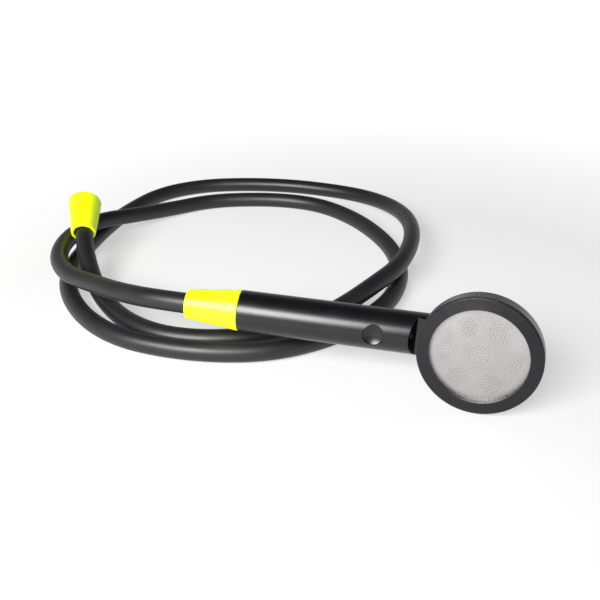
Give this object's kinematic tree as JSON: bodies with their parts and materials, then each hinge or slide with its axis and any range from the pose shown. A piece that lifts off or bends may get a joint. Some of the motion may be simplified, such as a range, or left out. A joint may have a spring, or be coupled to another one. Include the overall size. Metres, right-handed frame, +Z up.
{
  "type": "hand shower",
  "caption": "Satin black hand shower with a round steel spray plate, a thumb pause button and a thick hose ending in bright conical swivel nuts",
  "frame": {"origin": "on the floor under the middle of the handset, the handle, head and handset nut together", "axes": "+X from the hose end of the handle towards the head, +Z up, -Y the side the spray face looks to"},
  "size_m": [0.3824, 0.3523, 0.0757],
  "materials": {
    "satin_black": "satin black coated plastic with a fine grain",
    "ring_black": "smooth satin black plastic",
    "spray_steel": "satin stainless sheet with fine drilled holes",
    "screw_steel": "bare stainless screws",
    "neon_yellow": "satin neon yellow-green plastic",
    "hose_black": "smooth matt black hose jacket",
    "seal_rubber": "black nitrile rubber",
    "inner_plastic": "natural acetal",
    "inner_brass": "plain turned brass",
    "inner_steel": "stainless steel"
  },
  "bodies": {
    "handset_and_hose": {"head_shell": "satin_black", "front_ring": "ring_black", "spray_plate": "spray_steel", "plate_gasket": "seal_rubber", "water_distributor": "inner_plastic", "shell_seal": "seal_rubber", "grub_screws": "screw_steel", "neck_bolt": "inner_brass", "neck_seal": "seal_rubber", "neck_block": "satin_black", "handle_tube": "satin_black", "handle_end_cap": "satin_black", "inlet_fitting": "inner_brass", "flow_regulator": "inner_plastic", "inlet_pipe": "inner_plastic", "outlet_pipe": "inner_plastic", "valve_body": "inner_plastic", "return_spring": "inner_steel", "handset_washer": "seal_rubber", "handset_hose_insert": "inner_brass", "handset_ferrule": "inner_steel", "hose": "hose_black", "free_washer": "seal_rubber", "free_hose_insert": "inner_brass", "free_ferrule": "inner_steel"},
    "button": {"button_cap": "satin_black", "valve_stem": "inner_brass", "stem_seals": "seal_rubber"},
    "handset_nut": {"handset_cone_nut": "neon_yellow"},
    "free_nut": {"free_cone_nut": "neon_yellow"}
  },
  "joints": [
    {"name": "button_press", "type": "slide", "parent": "handset_and_hose", "child": "button", "axis": [-0.0051, 0.9842, -0.177], "range_m": [0, 0.0022], "stiffness_N_per_m": 500, "springref_m": -0.003},
    {"name": "handset_nut_swivel", "type": "hinge", "parent": "handset_and_hose", "child": "handset_nut", "pos_m": [-0.07695, 0.01057, 0.03874], "axis": [0.9996, 0, -0.0288], "continuous": true},
    {"name": "free_nut_swivel", "type": "hinge", "parent": "handset_and_hose", "child": "free_nut", "pos_m": [-0.2552, 0.1497, 0.0452], "axis": [-0.3285, 0.8739, 0.3584], "continuous": true}
  ]
}
